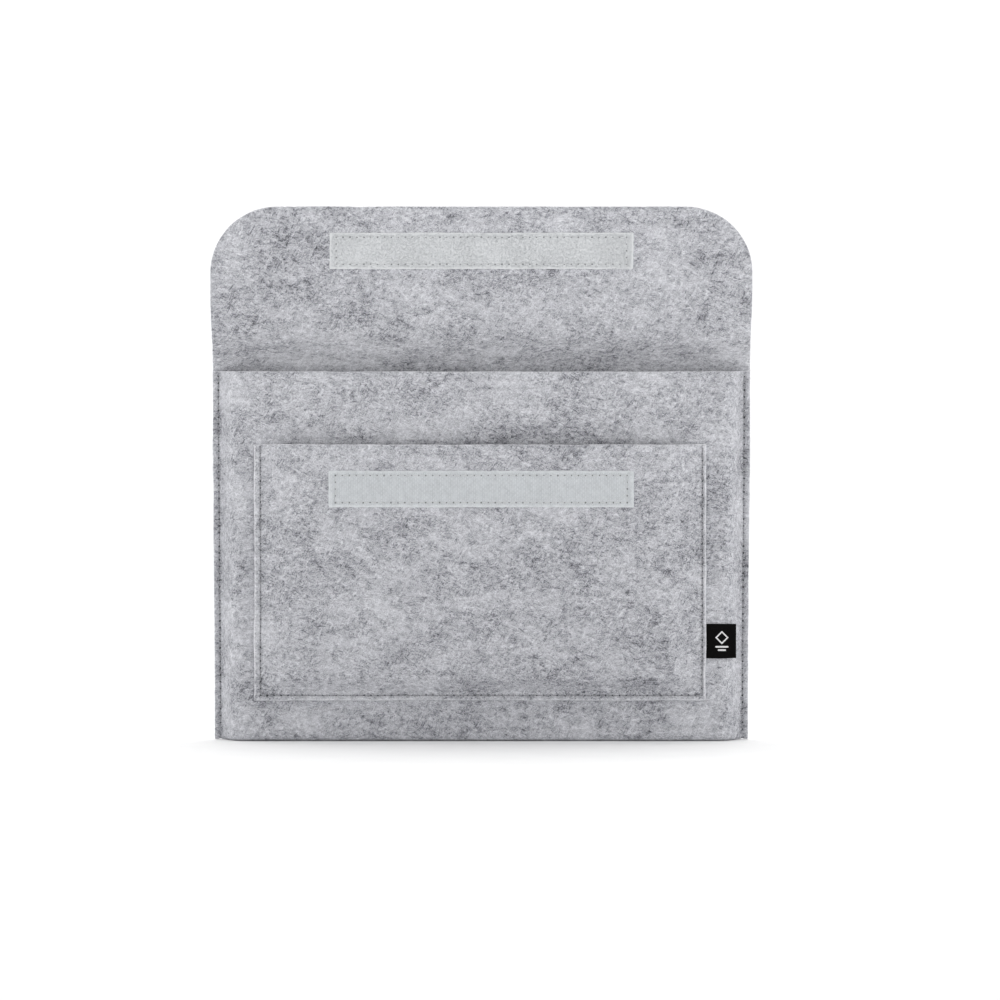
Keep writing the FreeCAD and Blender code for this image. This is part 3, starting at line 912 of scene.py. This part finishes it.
def make_hooks():
    """Rows of fine hooks, bent up and down by turns."""
    low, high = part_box("hook_field")
    rng = random.Random(61)
    pitch_x, pitch_z, wire = 1.55 * MM, 1.35 * MM, 0.16 * MM
    rise = (high.y - low.y) * 0.8
    columns = int((high.x - low.x) / pitch_x)
    rows = int((high.z - low.z) / pitch_z)
    sides, rings = 4, 6
    points, faces = [], []
    for i in range(columns + 1):
        for j in range(rows + 1):
            x = low.x + (high.x - low.x) * i / columns + rng.uniform(-0.1, 0.1) * MM
            z = low.z + (high.z - low.z) * j / rows + rng.uniform(-0.1, 0.1) * MM
            if seam_gap("hook_tape", x, z) < 0.75 * MM:
                continue
            lean = 1 if (i + j) % 2 else -1
            reach = rng.uniform(0.42, 0.55) * MM * lean
            base = Vector((x, high.y + 0.1 * MM, z))
            path = []
            for k in range(rings):
                turn = math.pi * 1.15 * k / (rings - 1)
                sweep = reach * (1 - math.cos(turn)) / 2
                lift = rise * math.sin(min(turn, math.pi / 2)) if turn < math.pi / 2 else (
                    rise - abs(reach) * (1 - math.sin(turn)))
                path.append(base + Vector((rng.uniform(-0.02, 0.02) * MM, -lift, sweep)))
            add_tube(points, faces, path, [wire] * rings, sides)
    piece = add_mesh("hook_rows", points, faces, [HOOK_LOOK])
    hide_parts("hook_field")
    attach(piece, "sleeve")


def make_pile():
    """Soft loops brushed every way, a few somewhere in each small cell of the tape."""
    low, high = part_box("loop_pile")
    rng = random.Random(71)
    sides, rings, wire = 3, 6, 0.13 * MM
    points, faces = [], []
    rise = (high.y - low.y) * 0.17
    columns, rows, crowd = 118, 13, 4
    left, right = low.x - 0.8 * MM, high.x + 0.8 * MM
    foot, top = low.z - 1.0 * MM, high.z + 1.0 * MM
    for number in range(columns * rows * crowd):
        cell = number // crowd
        x = left + (right - left) * (cell % columns + rng.random()) / columns
        z = foot + (top - foot) * (cell // columns + rng.random()) / rows
        if seam_gap("loop_tape", x, z) < 0.55 * MM:
            continue
        angle = rng.uniform(0, 2 * math.pi)
        along = Vector((math.cos(angle), 0, math.sin(angle)))
        width = rng.uniform(0.35, 0.85) * MM
        height = rise * rng.uniform(0.45, 1.0)
        fall = Vector((-along.z, 0, along.x)) * rng.uniform(-0.6, 0.6) * MM
        base = Vector((x, high.y + 0.04 * MM, z))
        path = []
        for k in range(rings):
            turn = math.pi * k / (rings - 1)
            path.append(base + along * (-width * math.cos(turn)) + fall * math.sin(turn)
                        + TOWARDS * (height * math.sin(turn)))
        add_tube(points, faces, path, [wire] * rings, sides)
    piece = add_mesh("loop_pile_loops", points, faces, [PILE_LOOK])
    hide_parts("loop_pile")
    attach(piece, "flap")


# ---------------------------------------------------------------- the label
RIBBON = 0.34 * MM           # thickness of the label's ribbon


def make_label():
    """A ribbon folded end to end, its two ends sewn in under the pocket's edge."""
    near = ROOT_LOW.x
    far = TAB_HIGH.x - RIBBON / 2
    lower = TAB_HIGH.y - RIBBON / 2
    upper = TAB_LOW.y + RIBBON / 2
    bend = (lower - upper) / 2
    path = [(x, lower) for x in np.linspace(near, far - bend, 30)]
    path += [(far - bend + bend * math.sin(a), upper + bend + bend * math.cos(a))
             for a in np.linspace(0, math.pi, 9)[1:-1]]
    path += [(x, upper) for x in np.linspace(far - bend, near, 30)]
    inset = 0.1 * MM
    heights = np.linspace(TAB_LOW.z + inset, TAB_HIGH.z - inset, 22)
    middle = np.array([[(x, y, z) for z in heights] for x, y in path])
    share = ease((middle[..., 0] - TAB_LOW.x) / (TAB_HIGH.x - TAB_LOW.x))
    cup = 0.35 * MM * np.sin((middle[..., 2] - TAB_LOW.z) / (TAB_HIGH.z - TAB_LOW.z) * math.pi)
    middle[..., 1] -= share * (0.25 * MM + cup)
    sag = 0.35 * MM * (1 - ((middle[..., 0] - near) / (far - near) * 2 - 1) ** 2)
    low_half = middle[..., 2] < (TAB_LOW.z + TAB_HIGH.z) / 2
    middle[..., 2] -= np.where(low_half, sag, sag * 0.2)
    piece = sheet_mesh("folded_label", middle, RIBBON / 2, RIBBON / 2, inset, LABEL_LOOK,
                       fray=0.3)
    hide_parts("label_root", "label_tab")
    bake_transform(piece)


def outline_band(corners, width, face_y, raised):
    """A closed band of even width along a polygon, standing raised off a face."""
    centre = sum(corners, Vector((0, 0))) / len(corners)
    inner = [centre + (c - centre) * (1 - width / (c - centre).length) for c in corners]
    count = len(corners)
    flat = corners + inner
    points = [Vector((p.x, face_y - raised, p.y)) for p in flat]
    points += [Vector((p.x, face_y + raised, p.y)) for p in flat]
    faces = []
    for n in range(count):
        m = (n + 1) % count
        outer_a, outer_b, inner_a, inner_b = n, m, count + n, count + m
        below = 2 * count
        faces.append((outer_a, outer_b, inner_b, inner_a))
        faces.append((below + outer_b, below + outer_a, below + inner_a, below + inner_b))
        faces.append((outer_b, outer_a, below + outer_a, below + outer_b))
        faces.append((inner_a, inner_b, below + inner_b, below + inner_a))
    return points, faces


def filled_bar(left, right, foot, top, face_y, raised):
    """A bar with cut corners, standing raised off a face."""
    cut = (top - foot) * 0.3
    flat = [(left + cut, foot), (right - cut, foot), (right, foot + cut), (right, top - cut),
            (right - cut, top), (left + cut, top), (left, top - cut), (left, foot + cut)]
    count = len(flat)
    points = [Vector((x, face_y - raised, z)) for x, z in flat]
    points += [Vector((x, face_y + raised, z)) for x, z in flat]
    faces = [tuple(range(count)), tuple(range(2 * count - 1, count - 1, -1))]
    for n in range(count):
        m = (n + 1) % count
        faces.append((m, n, count + n, count + m))
    return points, faces


def make_mark():
    """A plain woven mark of no maker: a diamond outline over two bars."""
    centre_x = (TAB_LOW.x + TAB_HIGH.x) / 2 + 0.3 * MM
    centre_z = (TAB_LOW.z + TAB_HIGH.z) / 2
    face_y = TAB_LOW.y - 0.42 * MM
    raised = 0.12 * MM
    reach, lift, line, bar = 4.6 * MM, 2.3 * MM, 1.3 * MM, 1.15 * MM
    turns = (0, math.pi / 2, math.pi, 1.5 * math.pi)
    diamond = [Vector((centre_x + reach * math.cos(a), centre_z + lift + reach * math.sin(a)))
               for a in turns]
    shapes = [outline_band(diamond, line, face_y, raised)]
    for width, height in ((9.0 * MM, -4.6 * MM), (5.6 * MM, -6.9 * MM)):
        foot = centre_z + height
        shapes.append(filled_bar(centre_x - width / 2, centre_x + width / 2, foot, foot + bar,
                                 face_y, raised))
    points, faces = [], []
    for some, quads in shapes:
        first = len(points)
        points += some
        faces += [tuple(first + n for n in quad) for quad in quads]
    piece = add_mesh("label_mark", points, faces, [MARK_LOOK])
    piece.data.polygons.foreach_set("use_smooth", [False] * len(piece.data.polygons))
    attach(piece, "label")


# ---------------------------------------------------------------- the stage
# Brightness of the surround: at eye level, high up in front and high up behind.
SKY_LEVEL = 1.09
SKY_FRONT = 0.26
SKY_BACK = 1.86
SKY_RISE = (0.15, 0.50)      # upward part of the directions between which eye level ends

# Watts of the softboxes.
LEFT_POWER = 0.72
RIGHT_POWER = 0.88
FRONT_POWER = 1.00
TOP_POWER = 0.70


def studio_world():
    """A white surround at eye level, bright behind and overhead, dim high up in front."""
    world = bpy.data.worlds.new("studio")
    world.use_nodes = True
    tree = world.node_tree
    direction = tree.nodes.new("ShaderNodeTexCoord").outputs["Generated"]
    split = tree.nodes.new("ShaderNodeSeparateXYZ")
    tree.links.new(direction, split.inputs["Vector"])
    level = map_range(tree, split.outputs["Z"], *SKY_RISE, SKY_LEVEL, 0.0)
    raised = map_range(tree, split.outputs["Z"], *SKY_RISE)
    above = map_range(tree, split.outputs["Y"], -0.50, 0.50, SKY_FRONT, SKY_BACK)
    strength = maths(tree, "ADD", level, maths(tree, "MULTIPLY", raised, above))
    sky = tree.nodes["Background"]
    sky.inputs["Color"].default_value = (1, 1, 1, 1)
    tree.links.new(strength, sky.inputs["Strength"])
    bpy.context.scene.world = world


def add_lamp(name, place, aim, width, height, power):
    """A rectangular softbox that the camera does not see."""
    lamp = bpy.data.lights.new(name, "AREA")
    lamp.shape = "RECTANGLE"
    lamp.size = width
    lamp.size_y = height
    lamp.energy = power
    holder = bpy.data.objects.new(name, lamp)
    holder.location = place
    holder.rotation_euler = (Vector(aim) - Vector(place)).to_track_quat("-Z", "Y").to_euler()
    holder.visible_camera = False
    bpy.context.scene.collection.objects.link(holder)


def make_stage():
    """A plain pale floor and soft studio light."""
    reach = 8.0
    corners = [(-reach, -reach, 0), (reach, -reach, 0), (reach, reach, 0), (-reach, reach, 0)]
    mesh = bpy.data.meshes.new("floor")
    mesh.from_pydata(corners, [], [(0, 1, 2, 3)])
    mesh.materials.append(floor_material())
    floor = bpy.data.objects.new("floor", mesh)
    floor.location.z = -0.2 * MM
    bpy.context.scene.collection.objects.link(floor)
    studio_world()
    add_lamp("left_box", (-0.75, -0.16, 0.18), (-0.15, 0, 0.18), 0.16, 0.34, LEFT_POWER)
    add_lamp("right_box", (0.75, -0.16, 0.18), (0.15, 0, 0.18), 0.16, 0.34, RIGHT_POWER)
    add_lamp("front_box", (0.0, -1.10, 0.16), (0, 0, 0.16), 1.0, 0.16, FRONT_POWER)
    add_lamp("top_box", (0.0, -0.30, 0.72), (0, 0, 0.34), 0.5, 0.10, TOP_POWER)
    bpy.context.scene.view_settings.view_transform = "Standard"


def make_camera():
    """A long lens square to the front, a little above it."""
    distance = 5.0
    frame_width = 0.689
    elevation = math.radians(2.0)
    target = Vector((12.8 * MM, BACK_MID, (cad_low.z + cad_high.z) / 2 - 18.6 * MM))
    camera = bpy.data.cameras.new("camera")
    camera.sensor_width = 36
    camera.lens = camera.sensor_width * distance / frame_width
    camera.clip_start = 0.05
    holder = bpy.data.objects.new("camera", camera)
    back = Vector((0, -math.cos(elevation), math.sin(elevation)))
    holder.location = target + back * distance
    holder.rotation_euler = (-back).to_track_quat("-Z", "Y").to_euler()
    bpy.context.scene.collection.objects.link(holder)
    bpy.context.scene.camera = holder


make_felt_body()
make_pocket()
make_side_seams()
make_pocket_seam()
make_tape_seams()
make_tape_ground("hook_tape", HOOK_TAPE_LOOK, "sleeve", 12.0)
make_tape_ground("loop_tape", LOOP_TAPE_LOOK, "flap", 14.0)
make_hooks()
make_pile()
make_label()
make_mark()
make_stage()
make_camera()
